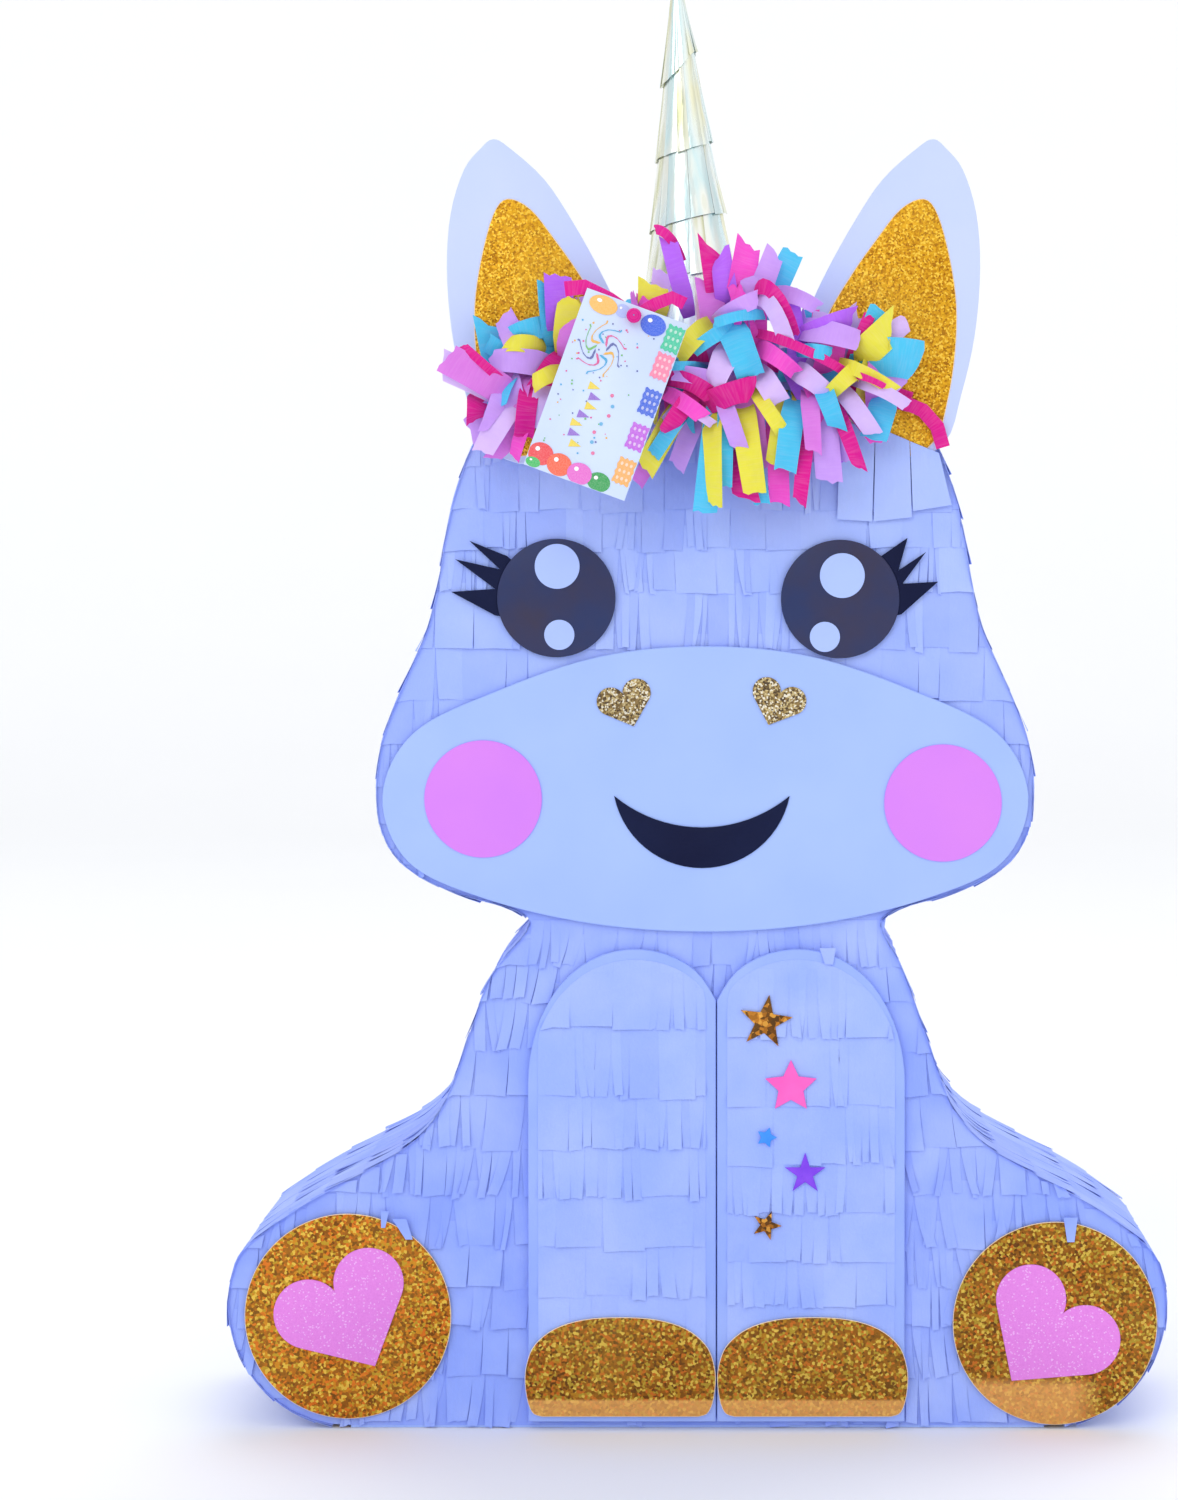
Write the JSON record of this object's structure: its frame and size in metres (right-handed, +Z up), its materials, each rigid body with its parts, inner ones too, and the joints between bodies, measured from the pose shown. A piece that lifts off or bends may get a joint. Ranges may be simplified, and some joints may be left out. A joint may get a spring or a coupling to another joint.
{
  "type": "pinata",
  "caption": "Seated baby unicorn party pinata: a hollow cardboard box in fringed tissue, with a foil horn, a crepe mane, a filling flap and a swinging gift tag.",
  "frame": {"origin": "middle of the flat base that the pinata sits on", "axes": "+Z up, the face looks along -Y, +X to the right as seen from the front"},
  "size_m": [0.466, 0.1624, 0.7096],
  "materials": {
    "corrugated_board": "brown corrugated board, matte",
    "paper_tape": "cream gummed tape, matte",
    "fringed_tissue": "periwinkle fringed tissue, matte",
    "smooth_tissue": "pale blue smooth tissue on card, matte",
    "ear_card": "pale card, matte",
    "fine_gold_glitter": "fine gold glitter film, glossy grains",
    "mosaic_gold_foil": "holographic gold mosaic film, glossy",
    "champagne_glitter": "champagne glitter foam, sparkling",
    "horn_foil": "pale gold metallic foil, glossy",
    "horn_paper": "rolled paper cone, matte",
    "cheek_card": "pink card, matte",
    "ink_card": "dark navy card, matte",
    "eye_vinyl": "dark charcoal vinyl, slight gloss",
    "shine_vinyl": "pale blue vinyl, slight gloss",
    "heart_glitter": "pink-lilac sparkling film",
    "star_gold": "gold foil, glossy",
    "star_pink_foam": "hot pink foam, satin",
    "star_blue_foil": "sky blue foil, glossy",
    "star_purple_foil": "violet foil, glossy",
    "crepe_mane": "crepe paper strips in six colours, matte",
    "crepe_magenta": "magenta crepe ribbon, matte",
    "tag_card": "white printed card, satin"
  },
  "bodies": {
    "shell": {"front_panel": "corrugated_board", "back_panel": "corrugated_board", "base_band": "corrugated_board", "leg_band_left": "corrugated_board", "leg_band_right": "corrugated_board", "head_band_left": "corrugated_board", "head_band_right": "corrugated_board", "crown_band": "corrugated_board", "seam_tape_front": "paper_tape", "seam_tape_back": "paper_tape", "hanger_plate": "corrugated_board", "base_paper": "smooth_tissue", "front_tissue": "fringed_tissue", "back_tissue": "fringed_tissue", "leg_tissue_left": "fringed_tissue", "leg_tissue_right": "fringed_tissue", "head_tissue_left": "fringed_tissue", "head_tissue_right": "fringed_tissue", "crown_tissue": "fringed_tissue", "ear_left": "ear_card", "ear_right": "ear_card", "inner_ear_left": "fine_gold_glitter", "inner_ear_right": "fine_gold_glitter", "horn_cone": "horn_paper", "horn_foil": "horn_foil", "muzzle": "smooth_tissue", "cheek_left": "cheek_card", "cheek_right": "cheek_card", "nostril_left": "champagne_glitter", "nostril_right": "champagne_glitter", "mouth": "ink_card", "eye_left": "eye_vinyl", "eye_right": "eye_vinyl", "eye_shine_left": "shine_vinyl", "eye_shine_right": "shine_vinyl", "lashes_left": "ink_card", "lashes_right": "ink_card", "foreleg_left": "smooth_tissue", "foreleg_right": "smooth_tissue", "foreleg_tissue_left": "fringed_tissue", "foreleg_tissue_right": "fringed_tissue", "hoof_left": "mosaic_gold_foil", "hoof_right": "mosaic_gold_foil", "foot_pad_left": "mosaic_gold_foil", "foot_pad_right": "mosaic_gold_foil", "foot_heart_left": "heart_glitter", "foot_heart_right": "heart_glitter", "star_gold_large": "star_gold", "star_pink": "star_pink_foam", "star_blue": "star_blue_foil", "star_purple": "star_purple_foil", "star_gold_small": "star_gold", "mane_ribbon": "crepe_magenta", "mane_left": "crepe_mane", "mane_middle": "crepe_mane", "mane_right": "crepe_mane", "tag_tie": "crepe_magenta"},
    "flap": {"fill_flap": "corrugated_board", "flap_tissue": "fringed_tissue"},
    "tag": {"gift_tag": "tag_card"}
  },
  "joints": [
    {"name": "flap_hinge", "type": "hinge", "parent": "shell", "child": "flap", "pos_m": [0, 0.057, 0.455], "axis": [1, 0, 0], "range_deg": [0, 110]},
    {"name": "tag_swing", "type": "hinge", "parent": "shell", "child": "tag", "pos_m": [-0.0335, -0.098, 0.545], "axis": [0, -1, 0], "range_deg": [-15, 55]}
  ]
}
